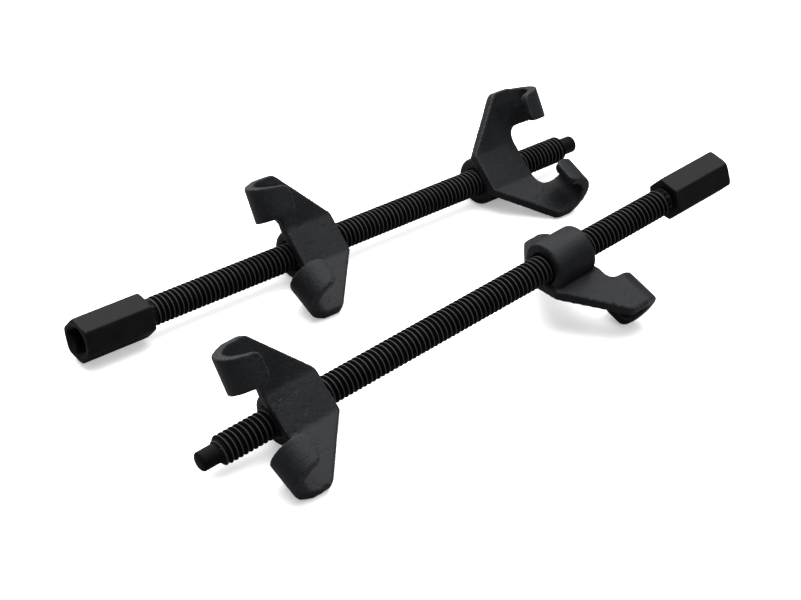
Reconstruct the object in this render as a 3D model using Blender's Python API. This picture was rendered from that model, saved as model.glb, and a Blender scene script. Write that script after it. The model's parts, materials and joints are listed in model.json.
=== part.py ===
"""A pair of screw-type coil spring compressors, lying on a flat surface.

Each unit is a threaded spindle with a long hexagon drive head, a sliding jaw near the head and
a threaded jaw near the tip. A jaw is a forged bent plate on a boss, with two hooks that curl up
and back to hold a coil of the spring. Turning the head draws the threaded jaw along.

A unit is built in its own frame: X runs along the spindle from the head's end face to the tip,
and Z is up. A jaw has its own frame too: X is the way its hooks face, Z points to the spring,
and the spindle's axis runs through its origin.
"""

import math

import bmesh
import bpy
from mathutils import Matrix, Vector

MM = 0.001

# Spindle
SPINDLE_END = 366 * MM
THREAD_DIAMETER = 16 * MM
NECK_LENGTH = 4 * MM
NECK_DIAMETER = 15 * MM
TIP_LENGTH = 10.5 * MM
TIP_DIAMETER = 10.4 * MM
TIP_CHAMFER = 1 * MM
THREAD_END_CHAMFER = 2.4 * MM

# Drive head, with a half-inch square socket in its end face
HEAD_LENGTH = 42.5 * MM
HEAD_ACROSS_FLATS = 22 * MM
HEAD_CHAMFER = 1.4 * MM
HEAD_ROLL_A = math.radians(10)
HEAD_ROLL_B = math.radians(-12)
SOCKET_SQUARE = 12.9 * MM
SOCKET_DEPTH = 22 * MM
SOCKET_MOUTH_DIAMETER = 18 * MM
SEAT_DIAMETER = 13 * MM
SEAT_FLOOR = 4 * MM

# Jaw forging
BOSS_DIAMETER = 28.6 * MM
BOSS_LENGTH = 27 * MM
BOSS_CHAMFER = 1.2 * MM
PLATE_TOP = 14.3 * MM
PLATE_THICKNESS = 6.2 * MM
PLATE_REAR = -15 * MM
PLATE_HALF_WIDTH = 12.8 * MM
NOTCH_EDGE = 17.2 * MM
NOTCH_HALF_WIDTH = 22 * MM
NOTCH_RADIUS = 5.5 * MM
WING_REAR = 13.4 * MM
WING_HALF_SPAN = 44.8 * MM
WING_BEND = math.radians(17.5)
WING_CORNER_RADIUS = 5 * MM
HOOK_START = 23.6 * MM
HOOK_RADIUS = 13.4 * MM
HOOK_SWEEP = math.radians(178)
HOOK_LIP_THICKNESS = 5.5 * MM
HOOK_LIP_HALF_SPAN = 39 * MM
HOOK_LIP_LENGTH = 5 * MM
HOOK_LIP_CORNER = 4.5 * MM

# Bores and fits
SLIDING_BORE = 17.8 * MM
THREADED_BORE_CLEARANCE = 0.45 * MM
TOUCH_GAP = 0.3 * MM

# How the pair lies: each jaw's place along its spindle, and unit b's place beside unit a
SLIDING_JAW_A = 155 * MM
THREADED_JAW_A = 297 * MM
SLIDING_JAW_B = 124 * MM
THREADED_JAW_B = 308 * MM
UNIT_B_HEAD = (355.5 * MM, -121 * MM)
UNIT_B_YAW = math.radians(179.3)

ROUND_SEGMENTS = 32
HOOK_STEPS = 14
CORNER_STEPS = 4
LIP_STEPS = 4
SETTLE_STEPS = 30
UNION_OVERLAP = 3 * MM
FOLD_TOLERANCE = 0.01 * MM

BLACK_OXIDE = (0.017, 0.018, 0.020, 1.0)
FORGED_BLACK = (0.022, 0.024, 0.027, 1.0)


def clear_scene():
    """Remove every object, so that the script starts from nothing."""
    for obj in list(bpy.data.objects):
        bpy.data.objects.remove(obj, do_unlink=True)


def make_material(name, colour, roughness, metallic):
    material = bpy.data.materials.new(name)
    material.use_nodes = True
    shader = material.node_tree.nodes["Principled BSDF"]
    shader.inputs["Base Color"].default_value = colour
    shader.inputs["Roughness"].default_value = roughness
    shader.inputs["Metallic"].default_value = metallic
    return material


def link_object(name, mesh):
    obj = bpy.data.objects.new(name, mesh)
    bpy.context.scene.collection.objects.link(obj)
    return obj


def finish_bmesh(name, shape):
    """Turn a bmesh into an object, with its faces pointing out."""
    bmesh.ops.recalc_face_normals(shape, faces=shape.faces)
    mesh = bpy.data.meshes.new(name)
    shape.to_mesh(mesh)
    shape.free()
    return link_object(name, mesh)


def turned(name, profile, segments=ROUND_SEGMENTS):
    """A solid of revolution about X, from (x, radius) points in order of x, capped at both ends."""
    shape = bmesh.new()
    rings = []
    for x, radius in profile:
        ring = []
        for i in range(segments):
            angle = 2 * math.pi * i / segments
            ring.append(shape.verts.new((x, radius * math.cos(angle), radius * math.sin(angle))))
        rings.append(ring)
    for near, far in zip(rings, rings[1:]):
        for i in range(segments):
            j = (i + 1) % segments
            shape.faces.new((near[i], near[j], far[j], far[i]))
    shape.faces.new(rings[0])
    shape.faces.new(rings[-1])
    return finish_bmesh(name, shape)


def lofted(name, sections):
    """A solid through closed sections of equally many points, capped at both ends."""
    shape = bmesh.new()
    rings = [[shape.verts.new(point) for point in section] for section in sections]
    count = len(rings[0])
    for near, far in zip(rings, rings[1:]):
        for i in range(count):
            j = (i + 1) % count
            shape.faces.new((near[i], near[j], far[j], far[i]))
    shape.faces.new(rings[0])
    shape.faces.new(rings[-1])
    return finish_bmesh(name, shape)


def combine(target, operation, *others):
    """Unite the target with other solids, or cut them from it, and keep the result as its mesh."""
    for other in others:
        modifier = target.modifiers.new(operation.title(), "BOOLEAN")
        modifier.operation = operation
        modifier.solver = "EXACT"
        modifier.object = other
    graph = bpy.context.evaluated_depsgraph_get()
    mesh = bpy.data.meshes.new_from_object(target.evaluated_get(graph))
    target.modifiers.clear()
    target.data = mesh
    for other in others:
        bpy.data.objects.remove(other, do_unlink=True)
    return target


def bent(point):
    """Where a point of the flat blank goes when its wings are bent up towards the spring."""
    height = point.z - (PLATE_TOP - PLATE_THICKNESS)
    beyond = abs(point.y) - PLATE_HALF_WIDTH
    if beyond < -FOLD_TOLERANCE:
        return point
    if beyond < FOLD_TOLERANCE:
        reach = PLATE_HALF_WIDTH - height * math.tan(WING_BEND / 2)
        rise = height
    else:
        reach = PLATE_HALF_WIDTH + beyond * math.cos(WING_BEND) - height * math.sin(WING_BEND)
        rise = beyond * math.sin(WING_BEND) + height * math.cos(WING_BEND)
    y = math.copysign(reach, point.y)
    return Vector((point.x, y, PLATE_TOP - PLATE_THICKNESS + rise))


def corner_arc(before, corner, after, radius):
    """Points of a round corner between two straight edges of a flat outline."""
    to_before = (before - corner).normalized()
    to_after = (after - corner).normalized()
    half_angle = to_before.angle(to_after) / 2
    reach = radius / math.tan(half_angle)
    centre = corner + (to_before + to_after).normalized() * radius / math.sin(half_angle)
    start = corner + to_before * reach - centre
    end = corner + to_after * reach - centre
    points = []
    for i in range(CORNER_STEPS + 1):
        direction = start.slerp(end, i / CORNER_STEPS).normalized()
        points.append(centre + direction * radius)
    return points


def plate_outline():
    """The bent plate seen from above, before its wings are bent: a trapezium with a notch."""
    front = HOOK_START + UNION_OVERLAP / 2
    half = [
        (Vector((PLATE_REAR, PLATE_HALF_WIDTH)), 0),
        (Vector((WING_REAR, WING_HALF_SPAN)), WING_CORNER_RADIUS),
        (Vector((front, WING_HALF_SPAN)), 0),
        (Vector((front, NOTCH_HALF_WIDTH)), 0),
        (Vector((NOTCH_EDGE, NOTCH_HALF_WIDTH)), NOTCH_RADIUS),
        (Vector((NOTCH_EDGE, PLATE_HALF_WIDTH)), 0),
    ]
    right = []
    for i, (corner, radius) in enumerate(half):
        if radius:
            right += corner_arc(half[i - 1][0], corner, half[i + 1][0], radius)
        else:
            right.append(corner)
    left = [Vector((point.x, -point.y)) for point in reversed(right)]
    return right + left


def bent_plate():
    """The jaw's plate: a flat middle, and two wings that rise towards the spring."""
    shape = bmesh.new()
    bottom = PLATE_TOP - PLATE_THICKNESS
    face = shape.faces.new([shape.verts.new((p.x, p.y, bottom)) for p in plate_outline()])
    lifted = bmesh.ops.extrude_face_region(shape, geom=[face])["geom"]
    raised = [item for item in lifted if isinstance(item, bmesh.types.BMVert)]
    bmesh.ops.translate(shape, verts=raised, vec=(0, 0, PLATE_THICKNESS))
    for side in (1, -1):
        geometry = shape.verts[:] + shape.edges[:] + shape.faces[:]
        bmesh.ops.bisect_plane(
            shape,
            geom=geometry,
            dist=1e-7,
            plane_co=(0, side * PLATE_HALF_WIDTH, 0),
            plane_no=(0, 1, 0),
        )
    for vertex in shape.verts:
        vertex.co = bent(vertex.co)
    return finish_bmesh("plate", shape)


def hook_section(side, place, sweep, inner_radius, thickness, inner_t, outer_t):
    """Four corners across the hook's strip at one angle of its curl, moved by place."""
    centre_z = PLATE_TOP - PLATE_THICKNESS + HOOK_RADIUS
    angle = sweep - math.pi / 2
    section = []
    for radius, t in (
        (inner_radius, inner_t),
        (inner_radius, outer_t),
        (inner_radius + thickness, outer_t),
        (inner_radius + thickness, inner_t),
    ):
        x = HOOK_START + radius * math.cos(angle) - place * math.sin(angle)
        z = centre_z + radius * math.sin(angle) + place * math.cos(angle)
        section.append(bent(Vector((x, side * t, z))))
    return section


def hook(side):
    """One hook: a strip that leaves the wing, curls up and back, and ends in a rounded lip."""
    inner_radius = HOOK_RADIUS - PLATE_THICKNESS
    sections = [
        hook_section(
            side,
            -UNION_OVERLAP,
            0,
            inner_radius,
            PLATE_THICKNESS,
            NOTCH_HALF_WIDTH,
            WING_HALF_SPAN,
        )
    ]
    for i in range(HOOK_STEPS + 1):
        share = i / HOOK_STEPS
        outer_t = WING_HALF_SPAN - (WING_HALF_SPAN - HOOK_LIP_HALF_SPAN) * share
        thickness = PLATE_THICKNESS + (HOOK_LIP_THICKNESS - PLATE_THICKNESS) * share
        sweep = HOOK_SWEEP * share
        sections.append(
            hook_section(side, 0, sweep, inner_radius, thickness, NOTCH_HALF_WIDTH, outer_t)
        )
    for i in range(LIP_STEPS + 1):
        turn = math.pi / 2 * i / LIP_STEPS
        place = HOOK_LIP_LENGTH - HOOK_LIP_CORNER * (1 - math.sin(turn))
        inset = HOOK_LIP_CORNER * (1 - math.cos(turn))
        sections.append(
            hook_section(
                side,
                place,
                HOOK_SWEEP,
                inner_radius,
                HOOK_LIP_THICKNESS,
                NOTCH_HALF_WIDTH + inset,
                HOOK_LIP_HALF_SPAN - inset,
            )
        )
    return lofted("hook", sections)


def boss():
    half = BOSS_LENGTH / 2
    radius = BOSS_DIAMETER / 2
    profile = [
        (-half, radius - BOSS_CHAMFER),
        (-half + BOSS_CHAMFER, radius),
        (half - BOSS_CHAMFER, radius),
        (half, radius - BOSS_CHAMFER),
    ]
    return turned("boss", profile)


def jaw_mesh(name, bore_diameter):
    """The whole jaw forging as one mesh, with its bore."""
    overrun = BOSS_LENGTH
    body = combine(boss(), "UNION", bent_plate())
    body = combine(body, "UNION", hook(1))
    body = combine(body, "UNION", hook(-1))
    bore = turned("bore", [(-overrun, bore_diameter / 2), (overrun, bore_diameter / 2)])
    body = combine(body, "DIFFERENCE", bore)
    mesh = body.data
    mesh.name = name
    bpy.data.objects.remove(body, do_unlink=True)
    mesh.shade_smooth()
    mesh.set_sharp_from_angle(angle=math.radians(35))
    return mesh


def spindle_mesh():
    """The spindle: shank inside the head, plain neck, thread's outer cylinder and tip."""
    shank_start = SOCKET_DEPTH + SEAT_FLOOR + TOUCH_GAP
    neck_start = HEAD_LENGTH + TOUCH_GAP
    thread_start = HEAD_LENGTH + NECK_LENGTH
    thread_end = SPINDLE_END - TIP_LENGTH
    shank = SEAT_DIAMETER / 2 - TOUCH_GAP
    neck = NECK_DIAMETER / 2
    thread = THREAD_DIAMETER / 2
    tip = TIP_DIAMETER / 2
    profile = [
        (shank_start, shank),
        (neck_start, shank),
        (neck_start, neck),
        (thread_start, neck),
        (thread_start + (thread - neck), thread),
        (thread_end - THREAD_END_CHAMFER, thread),
        (thread_end, tip + TIP_CHAMFER / 2),
        (thread_end, tip),
        (SPINDLE_END - TIP_CHAMFER, tip),
        (SPINDLE_END, tip - TIP_CHAMFER),
    ]
    body = turned("spindle", profile)
    mesh = body.data
    bpy.data.objects.remove(body, do_unlink=True)
    mesh.shade_smooth()
    mesh.set_sharp_from_angle(angle=math.radians(30))
    return mesh


def drive_head_mesh():
    """The hexagon head with turned ends, its square socket and the spindle's seat."""
    corner = HEAD_ACROSS_FLATS / 2 / math.cos(math.radians(30))
    end = corner - HEAD_CHAMFER
    run = 2 * HEAD_CHAMFER * math.tan(math.radians(30))
    hexagon = turned("hexagon", [(0, corner), (HEAD_LENGTH, corner)], segments=6)
    rounded = turned(
        "rounded",
        [
            (-run, end - 2 * HEAD_CHAMFER),
            (run, end + 2 * HEAD_CHAMFER),
            (HEAD_LENGTH - run, end + 2 * HEAD_CHAMFER),
            (HEAD_LENGTH + run, end - 2 * HEAD_CHAMFER),
        ],
    )
    head = combine(hexagon, "INTERSECT", rounded)
    half = SOCKET_SQUARE / 2 * math.sqrt(2)
    square = turned("square", [(-SOCKET_DEPTH, half), (SOCKET_DEPTH, half)], segments=4)
    head = combine(head, "DIFFERENCE", square)
    mouth = SOCKET_MOUTH_DIAMETER / 2
    flare = mouth - SOCKET_SQUARE / 2 + TOUCH_GAP
    countersink = turned("countersink", [(-flare, mouth + flare), (flare, mouth - flare)])
    head = combine(head, "DIFFERENCE", countersink)
    seat = turned(
        "seat",
        [
            (SOCKET_DEPTH + SEAT_FLOOR, SEAT_DIAMETER / 2),
            (HEAD_LENGTH + SEAT_FLOOR, SEAT_DIAMETER / 2),
        ],
    )
    head = combine(head, "DIFFERENCE", seat)
    mesh = head.data
    bpy.data.objects.remove(head, do_unlink=True)
    return mesh


def jaw_placement(place, roll, faces_head):
    """A jaw's matrix in its unit's frame: hooks towards the head or the tip, then rolled."""
    turn = Matrix.Rotation(math.pi if faces_head else 0, 4, "Z")
    return Matrix.Translation((place, 0, 0)) @ Matrix.Rotation(roll, 4, "X") @ turn


def lowest_point(mesh, placement):
    return min((placement @ vertex.co).z for vertex in mesh.vertices)


def resting_roll(mesh):
    """The roll at which a jaw lies on its boss and one wing."""
    low, high = 0.0, math.radians(90)
    for _ in range(SETTLE_STEPS):
        middle = (low + high) / 2
        drop = -lowest_point(mesh, Matrix.Rotation(middle, 4, "X"))
        if drop > BOSS_DIAMETER / 2 + FOLD_TOLERANCE:
            high = middle
        else:
            low = middle
    return low


def settled(placed):
    """The tilt and height at which both jaws of a unit touch the surface under it."""
    tilt = 0.0
    (near_mesh, near), (far_mesh, far) = placed
    span = far.translation.x - near.translation.x
    for _ in range(SETTLE_STEPS):
        lean = Matrix.Rotation(-tilt, 4, "Y")
        near_low = lowest_point(near_mesh, lean @ near)
        far_low = lowest_point(far_mesh, lean @ far)
        tilt += (near_low - far_low) / span
    return tilt, -min(near_low, far_low)


def build_unit(letter, origin, yaw, head_roll, jaws, meshes, materials):
    """One compressor, under an empty at the head end of its spindle's axis."""
    placed = [(meshes[kind], jaw_placement(*place)) for kind, place in jaws.items()]
    tilt, height = settled(placed)
    frame = bpy.data.objects.new(f"unit_{letter}", None)
    bpy.context.scene.collection.objects.link(frame)
    frame.matrix_world = (
        Matrix.Translation((origin[0], origin[1], height))
        @ Matrix.Rotation(yaw, 4, "Z")
        @ Matrix.Rotation(-tilt, 4, "Y")
    )
    nodes = dict(zip(jaws, (placement for _, placement in placed)))
    nodes["spindle"] = Matrix.Identity(4)
    nodes["drive_head"] = Matrix.Rotation(head_roll, 4, "X")
    for kind, placement in nodes.items():
        obj = link_object(f"{kind}_{letter}", meshes[kind].copy())
        obj.data.materials.append(materials[kind])
        obj.parent = frame
        obj.matrix_local = placement
    return frame


def centre_on_origin(units):
    """Move the units together, so that the origin is under the middle of the pair."""
    bpy.context.view_layer.update()
    pieces = [piece for unit in units for piece in unit.children]
    points = [piece.matrix_world @ v.co for piece in pieces for v in piece.data.vertices]
    low = [min(point[axis] for point in points) for axis in range(3)]
    high = [max(point[axis] for point in points) for axis in range(3)]
    middle = Vector(((low[0] + high[0]) / 2, (low[1] + high[1]) / 2, low[2]))
    for unit in units:
        unit.matrix_world = Matrix.Translation(-middle) @ unit.matrix_world
    bpy.context.view_layer.update()


def main():
    clear_scene()
    forged = make_material("forged_black", FORGED_BLACK, 0.5, 0.6)
    head_black = make_material("head_black", FORGED_BLACK, 0.42, 0.7)
    thread_black = make_material("thread_black", BLACK_OXIDE, 0.35, 0.8)
    threaded_bore = THREAD_DIAMETER + 2 * THREADED_BORE_CLEARANCE
    meshes = {
        "sliding_jaw": jaw_mesh("sliding_jaw", SLIDING_BORE),
        "threaded_jaw": jaw_mesh("threaded_jaw", threaded_bore),
        "spindle": spindle_mesh(),
        "drive_head": drive_head_mesh(),
    }
    materials = {
        "sliding_jaw": forged,
        "threaded_jaw": forged,
        "spindle": thread_black,
        "drive_head": head_black,
    }
    on_side = resting_roll(meshes["sliding_jaw"])
    jaws_a = {
        "sliding_jaw": (SLIDING_JAW_A, on_side, True),
        "threaded_jaw": (THREADED_JAW_A, on_side, False),
    }
    jaws_b = {
        "sliding_jaw": (SLIDING_JAW_B, math.pi, True),
        "threaded_jaw": (THREADED_JAW_B, -on_side, False),
    }
    unit_a = build_unit("a", (0, 0), 0, HEAD_ROLL_A, jaws_a, meshes, materials)
    unit_b = build_unit("b", UNIT_B_HEAD, UNIT_B_YAW, HEAD_ROLL_B, jaws_b, meshes, materials)
    centre_on_origin((unit_a, unit_b))


main()
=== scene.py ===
"""A pair of screw-type coil spring compressors in black finished steel, lying on a pale floor.

Each unit is a threaded spindle with a hexagon drive head, and two forged jaws that ride on it.
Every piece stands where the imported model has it, and moves with the same body.
"""

import json
import logging
import math
from dataclasses import dataclass, field
from enum import Enum

import bmesh
import bpy
from mathutils import Matrix, Vector


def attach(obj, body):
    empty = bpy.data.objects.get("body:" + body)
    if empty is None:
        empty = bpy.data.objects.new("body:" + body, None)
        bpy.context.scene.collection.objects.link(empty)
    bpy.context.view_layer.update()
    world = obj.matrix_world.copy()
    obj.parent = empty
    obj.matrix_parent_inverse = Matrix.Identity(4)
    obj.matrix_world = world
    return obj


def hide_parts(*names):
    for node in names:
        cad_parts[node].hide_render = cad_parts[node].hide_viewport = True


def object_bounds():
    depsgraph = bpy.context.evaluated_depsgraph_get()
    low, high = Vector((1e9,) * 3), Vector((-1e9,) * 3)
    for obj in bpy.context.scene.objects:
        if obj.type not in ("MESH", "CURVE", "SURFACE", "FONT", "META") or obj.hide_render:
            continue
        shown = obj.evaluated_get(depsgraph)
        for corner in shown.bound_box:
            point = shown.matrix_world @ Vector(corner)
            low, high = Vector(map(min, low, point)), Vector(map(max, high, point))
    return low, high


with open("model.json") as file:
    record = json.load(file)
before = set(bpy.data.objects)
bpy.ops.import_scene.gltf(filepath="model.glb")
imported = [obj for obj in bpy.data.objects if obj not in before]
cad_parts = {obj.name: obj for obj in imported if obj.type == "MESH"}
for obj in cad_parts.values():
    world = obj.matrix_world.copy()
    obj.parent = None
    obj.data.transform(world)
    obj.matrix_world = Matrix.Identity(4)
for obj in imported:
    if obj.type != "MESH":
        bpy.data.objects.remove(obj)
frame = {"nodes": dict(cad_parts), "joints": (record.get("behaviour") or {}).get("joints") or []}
cad_box = [list(corner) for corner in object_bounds()]

LOG = logging.getLogger("spring_compressor")
MM = 0.001
Colour = tuple[float, float, float, float]


class Slot(Enum):
    """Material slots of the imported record."""

    FORGED = "forged_black"
    THREAD = "thread_black"
    HEAD = "head_black"


# Shader building


@dataclass
class NodeSheet:
    """A node tree being drawn, with short ways to add and join its nodes.

    Args:
        tree: The material's or the group's node tree.
    """

    tree: bpy.types.NodeTree

    def add(self, kind: str, **settings: object) -> bpy.types.Node:
        """Add a node and set its properties.

        Args:
            kind: The node's type, such as ShaderNodeMath.
            settings: Properties of the node, by name.

        Returns:
            The new node.
        """
        node = self.tree.nodes.new(kind)
        for name, value in settings.items():
            setattr(node, name, value)
        return node

    def join(self, output: bpy.types.NodeSocket, entry: bpy.types.NodeSocket) -> None:
        """Link an output to an input."""
        self.tree.links.new(output, entry)

    def noise(self, scale: object, detail: float, roughness: float) -> bpy.types.NodeSocket:
        """Noise over the piece's own coordinates.

        Args:
            scale: A number, or the socket that gives it.
            detail: Octaves of the noise.
            roughness: How much the finer octaves count.

        Returns:
            The socket of the noise's value.
        """
        place = self.add("ShaderNodeTexCoord")
        node = self.add("ShaderNodeTexNoise")
        self.join(place.outputs["Object"], node.inputs["Vector"])
        self.feed(scale, node.inputs["Scale"])
        node.inputs["Detail"].default_value = detail
        node.inputs["Roughness"].default_value = roughness
        return node.outputs["Fac"]

    def feed(self, value: object, entry: bpy.types.NodeSocket) -> None:
        """Set an input to a number, or link it to a socket."""
        if isinstance(value, bpy.types.NodeSocket):
            self.join(value, entry)
        else:
            entry.default_value = value

    def math(self, operation: str, first: object, second: object) -> bpy.types.NodeSocket:
        """A Math node's result.

        Args:
            operation: The node's operation, such as MULTIPLY.
            first: A number or a socket.
            second: A number or a socket.

        Returns:
            The result's socket.
        """
        node = self.add("ShaderNodeMath", operation=operation)
        self.feed(first, node.inputs[0])
        self.feed(second, node.inputs[1])
        return node.outputs[0]

    def spread(self, value: object, source: tuple, target: tuple) -> bpy.types.NodeSocket:
        """Map a value from one range to another, clamped.

        Args:
            value: The socket to map.
            source: The range's two ends, as numbers or sockets.
            target: The two ends that they map to.

        Returns:
            The mapped value's socket.
        """
        node = self.add("ShaderNodeMapRange")
        self.feed(value, node.inputs["Value"])
        self.feed(source[0], node.inputs["From Min"])
        self.feed(source[1], node.inputs["From Max"])
        self.feed(target[0], node.inputs["To Min"])
        self.feed(target[1], node.inputs["To Max"])
        return node.outputs["Result"]

    def blend(self, share: object, first: object, second: object) -> bpy.types.NodeSocket:
        """Mix two colours.

        Args:
            share: How much of the second colour, as a number or a socket.
            first: A colour or a socket.
            second: A colour or a socket.

        Returns:
            The mixed colour's socket.
        """
        node = self.add("ShaderNodeMix", data_type="RGBA")
        self.feed(share, node.inputs[0])
        self.feed(first, node.inputs[6])
        self.feed(second, node.inputs[7])
        return node.outputs[2]


def start_group(
    name: str, entries: dict[str, float], exits: tuple[str, ...]
) -> tuple[NodeSheet, bpy.types.Node, bpy.types.Node]:
    """Begin a shader node group with float sockets.

    Args:
        name: The group's name.
        entries: Its inputs and their usual values.
        exits: Its outputs.

    Returns:
        The sheet, the group's input node and its output node.
    """
    tree = bpy.data.node_groups.new(name, "ShaderNodeTree")
    for entry, usual in entries.items():
        socket = tree.interface.new_socket(entry, in_out="INPUT", socket_type="NodeSocketFloat")
        socket.default_value = usual
    for way_out in exits:
        tree.interface.new_socket(way_out, in_out="OUTPUT", socket_type="NodeSocketFloat")
    sheet = NodeSheet(tree)
    return sheet, sheet.add("NodeGroupInput"), sheet.add("NodeGroupOutput")


def grain_group() -> bpy.types.NodeTree:
    """Fine blasted grain over a slow, cloudy unevenness of the finish.

    Returns:
        The group, with outputs Height and Tone.
    """
    pit_scale_share = 0.3
    pit_edge = (0.30, 0.42)
    cloud_range, cloud_share = (0.35, 0.65), 0.6
    speck_range, speck_share = (0.40, 0.62), 0.4
    entries = {"Grain Scale": 1500.0, "Cloud Scale": 60.0, "Pitting": 0.35}
    sheet, given, result = start_group("metal_grain", entries, ("Height", "Tone"))
    grain = sheet.noise(given.outputs["Grain Scale"], 4.0, 0.65)
    cloud = sheet.noise(given.outputs["Cloud Scale"], 3.0, 0.55)
    pit_scale = sheet.math("MULTIPLY", given.outputs["Grain Scale"], pit_scale_share)
    pits = sheet.spread(sheet.noise(pit_scale, 2.0, 0.5), pit_edge, (1.0, 0.0))
    sunk = sheet.math("MULTIPLY", pits, given.outputs["Pitting"])
    height = sheet.math("SUBTRACT", grain, sunk)
    clouds = sheet.math("MULTIPLY", sheet.spread(cloud, cloud_range, (0.0, 1.0)), cloud_share)
    specks = sheet.math("MULTIPLY", sheet.spread(grain, speck_range, (0.0, 1.0)), speck_share)
    sheet.join(height, result.inputs["Height"])
    sheet.join(sheet.math("ADD", clouds, specks), result.inputs["Tone"])
    return sheet.tree


def worn_edge_and_highlight_group() -> bpy.types.NodeTree:
    """Worn edges with a painted edge highlight: a mask on convex edges, broken up by noise.

    Returns:
        The group, with output Mask.
    """
    break_range, least_worn_and_highlight = (0.3, 0.6), 0.25
    entries = {"Edge Start": 0.525, "Edge Full": 0.59, "Breakup Scale": 220.0}
    sheet, given, result = start_group("worn_edge_and_highlight", entries, ("Mask",))
    shape = sheet.add("ShaderNodeNewGeometry")
    ends = (given.outputs["Edge Start"], given.outputs["Edge Full"])
    edge = sheet.spread(shape.outputs["Pointiness"], ends, (0.0, 1.0))
    patches = sheet.noise(given.outputs["Breakup Scale"], 3.0, 0.6)
    broken = sheet.spread(patches, break_range, (least_worn_and_highlight, 1.0))
    sheet.join(sheet.math("MULTIPLY", edge, broken), result.inputs["Mask"])
    return sheet.tree


@dataclass(frozen=True)
class BlackFinish:
    """A blackened steel finish, from its colours to its worn edges, which also carry a painted
    highlight.

    Args:
        name: The material's name.
        dark: Colour of the finish where it is thick.
        light: Colour where it is thin.
        worn_and_highlight_colour: Colour of worn edges and thread crests, partly real wear and
            partly a painted highlight.
        roughness: Roughness of the thick and of the thin finish.
        rubbed_roughness: How much smoother a worn edge or crest is.
        specular: Strength of the surface's mirror reflection.
        grain_scale: Grains per metre.
        cloud_scale: Cloudy patches per metre.
        pitting: Depth of forging pits beside the grain.
        bump: Height of the grain in metres.
        crest: Whether the mesh carries a crest attribute, whose crests get the worn and
            painted-highlight colour.
        crest_tone: Range of tone over which a crest goes from least to full worn and
            painted-highlight colour.
        least_crest_worn_and_highlight: How much worn and painted-highlight colour a crest gets where
            the finish is thick.
        bump_strength: Share of the bump that shows.
    """

    name: str
    dark: Colour
    light: Colour
    worn_and_highlight_colour: Colour
    roughness: tuple[float, float]
    rubbed_roughness: float
    specular: float
    grain_scale: float
    cloud_scale: float
    pitting: float
    bump: float
    crest: bool = False
    crest_tone: tuple[float, float] = (0.1, 0.6)
    least_crest_worn_and_highlight: float = 0.55
    bump_strength: float = 0.6

    def build(self, grain: bpy.types.NodeTree, worn_edge_and_highlight_tree: bpy.types.NodeTree) -> bpy.types.Material:
        """Make the finish as a material.

        Args:
            grain: The grain group.
            worn_edge_and_highlight_tree: The group that marks worn edges, which also get a painted
                highlight.

        Returns:
            The material.
        """
        material = bpy.data.materials.new(self.name)
        material.use_nodes = True
        sheet = NodeSheet(material.node_tree)
        shader = material.node_tree.nodes["Principled BSDF"]
        surface = sheet.add("ShaderNodeGroup", node_tree=grain)
        surface.inputs["Grain Scale"].default_value = self.grain_scale
        surface.inputs["Cloud Scale"].default_value = self.cloud_scale
        surface.inputs["Pitting"].default_value = self.pitting
        edges = sheet.add("ShaderNodeGroup", node_tree=worn_edge_and_highlight_tree)
        # The mask marks worn convex edges, which are also lightened as a painted highlight.
        mask = edges.outputs["Mask"]
        # On a thread the crests take this mark instead: worn crests with a painted highlight along
        # them.
        if self.crest:
            crest = sheet.add("ShaderNodeAttribute", attribute_name="crest")
            share = sheet.spread(surface.outputs["Tone"], self.crest_tone, (self.least_crest_worn_and_highlight, 1.0))
            mask = sheet.math("MULTIPLY", crest.outputs["Fac"], share)
        body = sheet.blend(surface.outputs["Tone"], self.dark, self.light)
        # Painted highlight and wear: masked edges and crests are mixed towards the lighter edge and
        # crest colour.
        sheet.join(sheet.blend(mask, body, self.worn_and_highlight_colour), shader.inputs["Base Color"])
        rough = sheet.spread(surface.outputs["Tone"], (0.0, 1.0), self.roughness)
        smoother = sheet.math("MULTIPLY", mask, self.rubbed_roughness)
        sheet.join(sheet.math("SUBTRACT", rough, smoother), shader.inputs["Roughness"])
        bump = sheet.add("ShaderNodeBump")
        bump.inputs["Strength"].default_value = self.bump_strength
        bump.inputs["Distance"].default_value = self.bump
        sheet.join(surface.outputs["Height"], bump.inputs["Height"])
        sheet.join(bump.outputs["Normal"], shader.inputs["Normal"])
        shader.inputs["Specular IOR Level"].default_value = self.specular
        return material


FORGED_FINISH = BlackFinish(
    name="forged_black_finish",
    dark=(0.0044, 0.0049, 0.0060, 1.0),
    light=(0.0125, 0.0134, 0.0155, 1.0),
    # Worn edge colour, made lighter than the steel so that it also paints a highlight along the
    # edges.
    worn_and_highlight_colour=(0.095, 0.098, 0.102, 1.0),
    roughness=(0.30, 0.50),
    rubbed_roughness=0.12,
    specular=0.12,
    grain_scale=900.0,
    cloud_scale=38.0,
    pitting=0.6,
    bump=0.45 * MM,
)
HEAD_FINISH = BlackFinish(
    name="turned_black_finish",
    dark=(0.0024, 0.0026, 0.0028, 1.0),
    light=(0.0056, 0.0060, 0.0064, 1.0),
    # Worn edge colour, made lighter than the steel so that it also paints a highlight along the
    # edges.
    worn_and_highlight_colour=(0.070, 0.071, 0.073, 1.0),
    roughness=(0.40, 0.52),
    rubbed_roughness=0.10,
    specular=0.09,
    grain_scale=1500.0,
    cloud_scale=60.0,
    pitting=0.2,
    bump=0.15 * MM,
)
THREAD_FINISH = BlackFinish(
    name="rolled_thread_finish",
    dark=(0.0006, 0.0006, 0.0007, 1.0),
    light=(0.0016, 0.0016, 0.0018, 1.0),
    # Crest colour: worn crests and a painted highlight along each thread crest.
    worn_and_highlight_colour=(0.050, 0.051, 0.053, 1.0),
    roughness=(0.56, 0.64),
    rubbed_roughness=0.34,
    specular=0.08,
    grain_scale=2600.0,
    cloud_scale=90.0,
    pitting=0.1,
    bump=0.03 * MM,
    crest=True,
)


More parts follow.
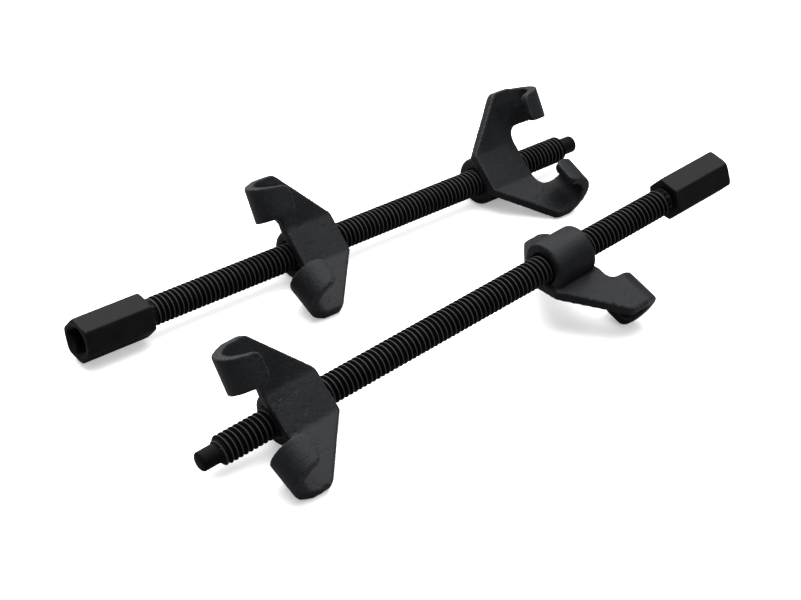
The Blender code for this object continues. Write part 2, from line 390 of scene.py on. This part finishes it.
@dataclass
class Finishes:
    """The three finishes, made once and shared by all pieces."""

    materials: dict[Slot, bpy.types.Material] = field(default_factory=dict)

    def make(self) -> None:
        """Build the groups and the materials."""
        grain, worn_edge_and_highlight_tree = grain_group(), worn_edge_and_highlight_group()
        self.materials = {
            Slot.FORGED: FORGED_FINISH.build(grain, worn_edge_and_highlight_tree),
            Slot.HEAD: HEAD_FINISH.build(grain, worn_edge_and_highlight_tree),
            Slot.THREAD: THREAD_FINISH.build(grain, worn_edge_and_highlight_tree),
        }


# Mesh helpers


def place_piece(
    name: str, mesh: bpy.types.Mesh, slot: Slot, node: str, body: str, finishes: Finishes
) -> bpy.types.Object:
    """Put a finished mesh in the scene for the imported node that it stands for.

    Args:
        name: The piece's name.
        mesh: Its mesh, in the row frame.
        slot: Its material slot.
        node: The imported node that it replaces.
        body: The body that it rides on.
        finishes: Where its material comes from.

    Returns:
        The piece.
    """
    piece = bpy.data.objects.new(name, mesh)
    bpy.context.scene.collection.objects.link(piece)
    mesh.materials.clear()
    mesh.materials.append(finishes.materials[slot])
    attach(piece, body)
    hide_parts(node)
    LOG.info("%s: %d faces, rides on %s", name, len(mesh.polygons), body)
    return piece


def rounded_copy(node: str, voxel: float, passes: int) -> bpy.types.Mesh:
    """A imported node's mesh with its edges rounded, as forging and tumbling leave them.

    Args:
        node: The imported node.
        voxel: Size of the new surface's cells, in metres.
        passes: How often the surface is smoothed.

    Returns:
        The rounded mesh.
    """
    source = frame["nodes"][node]
    work = bpy.data.objects.new(f"{node}_blank", source.data.copy())
    bpy.context.scene.collection.objects.link(work)
    cells = work.modifiers.new("Cells", "REMESH")
    cells.mode = "VOXEL"
    cells.voxel_size = voxel
    soften = work.modifiers.new("Soften", "SMOOTH")
    soften.factor = 0.5
    soften.iterations = passes
    graph = bpy.context.evaluated_depsgraph_get()
    mesh = bpy.data.meshes.new_from_object(work.evaluated_get(graph))
    bpy.data.objects.remove(work, do_unlink=True)
    mesh.shade_smooth()
    return mesh


@dataclass
class Axis:
    """The spindle's axis of one unit, as the record's hinge gives it.

    Args:
        unit: The unit's letter.
    """

    unit: str
    start: Vector = field(init=False)
    along: Vector = field(init=False)

    def __post_init__(self) -> None:
        """Find the axis and move its start to the drive head's end face."""
        hinge = next(j for j in frame["joints"] if j["name"] == f"spindle_{self.unit}_turn")
        self.along = Vector(hinge["axis"]).normalized()
        point = Vector(hinge["pos_m"])
        head = frame["nodes"][f"drive_head_{self.unit}"].data
        first = min((vertex.co - point).dot(self.along) for vertex in head.vertices)
        self.start = point + self.along * first

    def matrix(self) -> Matrix:
        """The frame with X along the axis and its origin at the head's end face."""
        turn = Vector((1, 0, 0)).rotation_difference(self.along).to_matrix().to_4x4()
        return Matrix.Translation(self.start) @ turn

    def reach(self, node: str) -> tuple[float, float]:
        """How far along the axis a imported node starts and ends."""
        places = [(v.co - self.start).dot(self.along) for v in frame["nodes"][node].data.vertices]
        return min(places), max(places)


# Pieces


@dataclass
class Spindle:
    """A rolled-thread spindle with a plain neck at the head and a plain pin at the tip.

    Sizes are in metres. The thread's form gives shares of the pitch and of the thread's depth.

    Args:
        unit: The unit's letter.
    """

    unit: str
    pitch: float = 3.0 * MM
    crest_radius: float = 7.97 * MM
    root_radius: float = 6.05 * MM
    neck_radius: float = 7.4 * MM
    neck_end: float = 46.1 * MM
    neck_length: float = 3.2 * MM
    neck_chamfer: float = 0.3 * MM
    shank_radius: float = 6.15 * MM
    pin_radius: float = 5.2 * MM
    pin_fillet: float = 0.3 * MM
    last_thread_step: float = 0.4 * MM
    pin_length: float = 10.5 * MM
    pin_chamfer: float = 1.1 * MM
    run_out: float = 2.6 * MM
    run_in: float = 2.2 * MM
    crest_start: float = 0.94
    weld_distance: float = 0.001 * MM
    sharp_angle: float = math.radians(50)
    round_steps: int = 44
    form: tuple[tuple[float, float], ...] = (
        (0.00, 0.84),
        (0.04, 0.95),
        (0.09, 1.00),
        (0.19, 1.00),
        (0.24, 0.95),
        (0.28, 0.84),
        (0.46, 0.10),
        (0.52, 0.02),
        (0.58, 0.00),
        (0.70, 0.00),
        (0.76, 0.02),
        (0.82, 0.10),
    )

    def radius_at(self, x: float, lift: float, end: float) -> float:
        """Radius of the thread, faded out at both ends.

        Args:
            x: Place along the axis.
            lift: Share of the thread's depth, from root to crest.
            end: Where the thread ends.

        Returns:
            The radius there.
        """
        radius = self.root_radius + (self.crest_radius - self.root_radius) * lift
        share = min(max((x - self.neck_end) / self.run_in, 0.0), 1.0)
        radius = max(radius, self.neck_radius + (self.root_radius - self.neck_radius) * share)
        ramp = min(max((end - x) / self.run_out, 0.0), 1.0)
        step = self.pin_radius + self.last_thread_step
        ceiling = step + (self.crest_radius - self.pin_radius) * ramp
        floor = self.neck_radius + (self.crest_radius - self.neck_radius) * share
        return min(radius, ceiling, max(floor, self.root_radius))

    def thread(self, shape: bmesh.types.BMesh, crest: bmesh.types.BMLayerItem, end: float) -> None:
        """Add the right-hand helical thread.

        Args:
            shape: The mesh being built.
            crest: The layer that marks crests.
            end: Where the thread ends.
        """
        turns = int((end - self.neck_end) / self.pitch) + 3
        rows: list[list[bmesh.types.BMVert]] = []
        for turn in range(-1, turns):
            for along, lift in self.form:
                row = []
                for step in range(self.round_steps + 1):
                    share = step / self.round_steps
                    x = self.neck_end + self.pitch * (turn + along + share)
                    x = min(max(x, self.neck_end), end)
                    radius = self.radius_at(x, lift, end)
                    angle = 2 * math.pi * share
                    spot = (x, radius * math.cos(angle), radius * math.sin(angle))
                    vertex = shape.verts.new(spot)
                    # The crest value grows towards each crest; the finish paints a highlight there,
                    # along with wear.
                    vertex[crest] = max(lift - self.crest_start, 0.0) / (1 - self.crest_start)
                    row.append(vertex)
                rows.append(row)
        for near, far in zip(rows, rows[1:]):
            for step in range(self.round_steps):
                shape.faces.new((near[step], near[step + 1], far[step + 1], far[step]))

    def turned_parts(
        self, shape: bmesh.types.BMesh, begin: float, thread_end: float, tip: float
    ) -> None:
        """Add the shank, the neck and the pin, turned round the axis.

        Args:
            shape: The mesh being built.
            begin: Where the shank starts inside the head.
            thread_end: Where the thread ends.
            tip: Where the pin ends.
        """
        seat = self.neck_end - self.neck_length
        hidden = 0.2 * MM
        profile = [
            (begin, 0.0),
            (begin, self.shank_radius),
            (seat, self.shank_radius),
            (seat, self.neck_radius - self.neck_chamfer),
            (seat + self.neck_chamfer, self.neck_radius),
            (self.neck_end, self.neck_radius),
            (self.neck_end + hidden, self.root_radius - 0.3 * MM),
            (thread_end - hidden, self.pin_radius),
            (thread_end, self.pin_radius + self.pin_fillet * 1.5),
            (thread_end + self.pin_fillet / 2, self.pin_radius + self.pin_fillet),
            (thread_end + self.pin_fillet, self.pin_radius),
            (tip - self.pin_chamfer, self.pin_radius),
            (tip - self.pin_chamfer * 0.5, self.pin_radius - self.pin_chamfer * 0.25),
            (tip, self.pin_radius - self.pin_chamfer),
            (tip, 0.0),
        ]
        rings = []
        for x, radius in profile:
            ring = []
            for step in range(self.round_steps):
                angle = 2 * math.pi * step / self.round_steps
                ring.append(shape.verts.new((x, radius * math.cos(angle), radius * math.sin(angle))))
            rings.append(ring)
        for near, far in zip(rings, rings[1:]):
            for step in range(self.round_steps):
                after = (step + 1) % self.round_steps
                shape.faces.new((near[step], near[after], far[after], far[step]))

    def build(self, finishes: Finishes) -> None:
        """Build the spindle and dress it."""
        axis = Axis(self.unit)
        begin, tip = axis.reach(f"spindle_{self.unit}")
        thread_end = tip - self.pin_length
        shape = bmesh.new()
        crest = shape.verts.layers.float.new("crest")
        self.thread(shape, crest, thread_end)
        self.turned_parts(shape, begin, thread_end, tip)
        bmesh.ops.remove_doubles(shape, verts=shape.verts, dist=self.weld_distance)
        bmesh.ops.recalc_face_normals(shape, faces=shape.faces)
        shape.transform(axis.matrix())
        mesh = bpy.data.meshes.new(f"threaded_spindle_{self.unit}")
        shape.to_mesh(mesh)
        shape.free()
        mesh.shade_smooth()
        mesh.set_sharp_from_angle(angle=self.sharp_angle)
        node = f"spindle_{self.unit}"
        place_piece(f"threaded_spindle_{self.unit}", mesh, Slot.THREAD, node, node, finishes)


@dataclass
class DriveHead:
    """The long hexagon head with its square socket, edges broken.

    Args:
        unit: The unit's letter.
        cell: Size of the rounded surface's cells, in metres.
        passes: How often that surface is smoothed.
    """

    unit: str
    cell: float = 0.42 * MM
    passes: int = 14

    def build(self, finishes: Finishes) -> None:
        """Build the head and dress it."""
        node = f"drive_head_{self.unit}"
        mesh = rounded_copy(node, self.cell, self.passes)
        body = f"spindle_{self.unit}"
        place_piece(f"hexagon_head_{self.unit}", mesh, Slot.HEAD, node, body, finishes)


@dataclass
class ForgedJaw:
    """A jaw forging: boss, bent plate and two curled hooks, rounded as forged.

    Args:
        kind: sliding_jaw or threaded_jaw, the start of the node's name.
        unit: The unit's letter.
        cell: Size of the rounded surface's cells, in metres.
        passes: How often that surface is smoothed.
    """

    kind: str
    unit: str
    cell: float = 0.75 * MM
    passes: int = 7

    def build(self, finishes: Finishes) -> None:
        """Build the jaw and dress it."""
        node = f"{self.kind}_{self.unit}"
        mesh = rounded_copy(node, self.cell, self.passes)
        place_piece(f"forged_{node}", mesh, Slot.FORGED, node, node, finishes)


@dataclass
class CompressorUnit:
    """One compressor: spindle, drive head and two jaws.

    Args:
        unit: The unit's letter.
    """

    unit: str

    def build(self, finishes: Finishes) -> None:
        """Build the unit's four pieces in order."""
        Spindle(self.unit).build(finishes)
        DriveHead(self.unit).build(finishes)
        ForgedJaw("sliding_jaw", self.unit).build(finishes)
        ForgedJaw("threaded_jaw", self.unit).build(finishes)


@dataclass(frozen=True)
class Softbox:
    """A square soft light.

    Args:
        name: The light's name.
        spot: Where it hangs, in metres.
        size: Its side in metres.
        power: Its power in watts.
    """

    name: str
    spot: tuple[float, float, float]
    size: float
    power: float

    def hang(self, aim: Vector) -> None:
        """Hang the light, turned to the point that it lights."""
        lamp = bpy.data.lights.new(self.name, "AREA")
        lamp.shape = "SQUARE"
        lamp.size = self.size
        lamp.energy = self.power
        light = bpy.data.objects.new(self.name, lamp)
        bpy.context.scene.collection.objects.link(light)
        spot = Vector(self.spot)
        turn = (spot - aim).to_track_quat("Z", "Y").to_matrix().to_4x4()
        light.matrix_world = Matrix.Translation(spot) @ turn


OVERHEAD = Softbox("overhead_softbox", (0.25, 0.35, 1.7), 2.2, 62.0)
BACK = Softbox("back_softbox", (0.4, 1.9, 1.0), 1.2, 16.0)


@dataclass
class Studio:
    """The floor, the lights and the camera.

    The camera's offset is from the floor under the end of unit a's drive head. The floor looks
    pale, but lights the undersides of the pair only a little, and the room is bright above and
    dim towards the horizon.
    """

    focal_length: float = 87.82
    camera_offset: Vector = field(default_factory=lambda: Vector((-0.4510, -0.7193, 0.5840)))
    forward: Vector = field(default_factory=lambda: Vector((0.5784, 0.6127, -0.5386)))
    upward: Vector = field(default_factory=lambda: Vector((0.3260, 0.4315, 0.8410)))
    sensor_width: float = 36.0
    clip: tuple[float, float] = (0.05, 50.0)
    floor_size: float = 12.0
    floor_gap: float = 0.15 * MM
    floor_colour: Colour = (0.93, 0.93, 0.93, 1.0)
    floor_bounce: Colour = (0.22, 0.22, 0.23, 1.0)
    floor_glow: Colour = (0.35, 0.35, 0.35, 1.0)
    lights_aim: Vector = field(default_factory=lambda: Vector((0.0, 0.0, 0.02)))
    horizon: Colour = (0.07, 0.07, 0.075, 1.0)
    ceiling: Colour = (1.0, 1.0, 1.0, 1.0)
    ceiling_rise: tuple[float, float] = (0.05, 0.75)

    def place_camera(self) -> None:
        """Set the camera over unit a's drive head, looking down along the pair."""
        start = Axis("a").start
        back = -self.forward.normalized()
        right = self.upward.cross(back).normalized()
        up = back.cross(right).normalized()
        turn = Matrix((right, up, back)).transposed().to_4x4()
        lens = bpy.data.cameras.new("studio_camera")
        lens.lens = self.focal_length
        lens.sensor_width = self.sensor_width
        lens.clip_start, lens.clip_end = self.clip
        camera = bpy.data.objects.new("studio_camera", lens)
        bpy.context.scene.collection.objects.link(camera)
        spot = Vector((start.x, start.y, 0.0)) + self.camera_offset
        camera.matrix_world = Matrix.Translation(spot) @ turn
        bpy.context.scene.camera = camera

    def lay_floor(self) -> None:
        """Lay the pale floor just under the pair."""
        half = self.floor_size / 2
        mesh = bpy.data.meshes.new("pale_floor")
        corners = [(-half, -half, 0), (half, -half, 0), (half, half, 0), (-half, half, 0)]
        mesh.from_pydata(corners, [], [(0, 1, 2, 3)])
        floor = bpy.data.objects.new("pale_floor", mesh)
        floor.location.z = cad_box[0][2] - self.floor_gap
        bpy.context.scene.collection.objects.link(floor)
        material = bpy.data.materials.new("pale_floor")
        material.use_nodes = True
        sheet = NodeSheet(material.node_tree)
        shader = material.node_tree.nodes["Principled BSDF"]
        seen = sheet.add("ShaderNodeLightPath").outputs["Is Camera Ray"]
        black = (0.0, 0.0, 0.0, 1.0)
        colour = sheet.blend(seen, self.floor_bounce, self.floor_colour)
        glow = sheet.blend(seen, black, self.floor_glow)
        sheet.join(colour, shader.inputs["Base Color"])
        sheet.join(glow, shader.inputs["Emission Color"])
        shader.inputs["Emission Strength"].default_value = 1.0
        shader.inputs["Roughness"].default_value = 0.9
        shader.inputs["Specular IOR Level"].default_value = 0.1
        mesh.materials.append(material)

    def light_it(self) -> None:
        """Light the pair softly from above, and brighten the room."""
        for softbox in (OVERHEAD, BACK):
            softbox.hang(self.lights_aim)
        world = bpy.data.worlds.new("studio_room")
        world.use_nodes = True
        room = world.node_tree.nodes["Background"]
        sheet = NodeSheet(world.node_tree)
        sky = sheet.add("ShaderNodeTexCoord")
        parts = sheet.add("ShaderNodeSeparateXYZ")
        sheet.join(sky.outputs["Generated"], parts.inputs["Vector"])
        height = sheet.spread(parts.outputs["Z"], self.ceiling_rise, (0.0, 1.0))
        sheet.join(sheet.blend(height, self.horizon, self.ceiling), room.inputs["Color"])
        bpy.context.scene.world = world
        bpy.context.scene.view_settings.view_transform = "Standard"

    def build(self) -> None:
        """Set up the whole studio."""
        self.place_camera()
        self.lay_floor()
        self.light_it()


def main() -> None:
    """Build the studio and both units."""
    logging.basicConfig(level=logging.INFO, format="%(message)s")
    Studio().build()
    finishes = Finishes()
    finishes.make()
    for letter in ("a", "b"):
        CompressorUnit(letter).build(finishes)


if __name__ == "__main__":
    main()
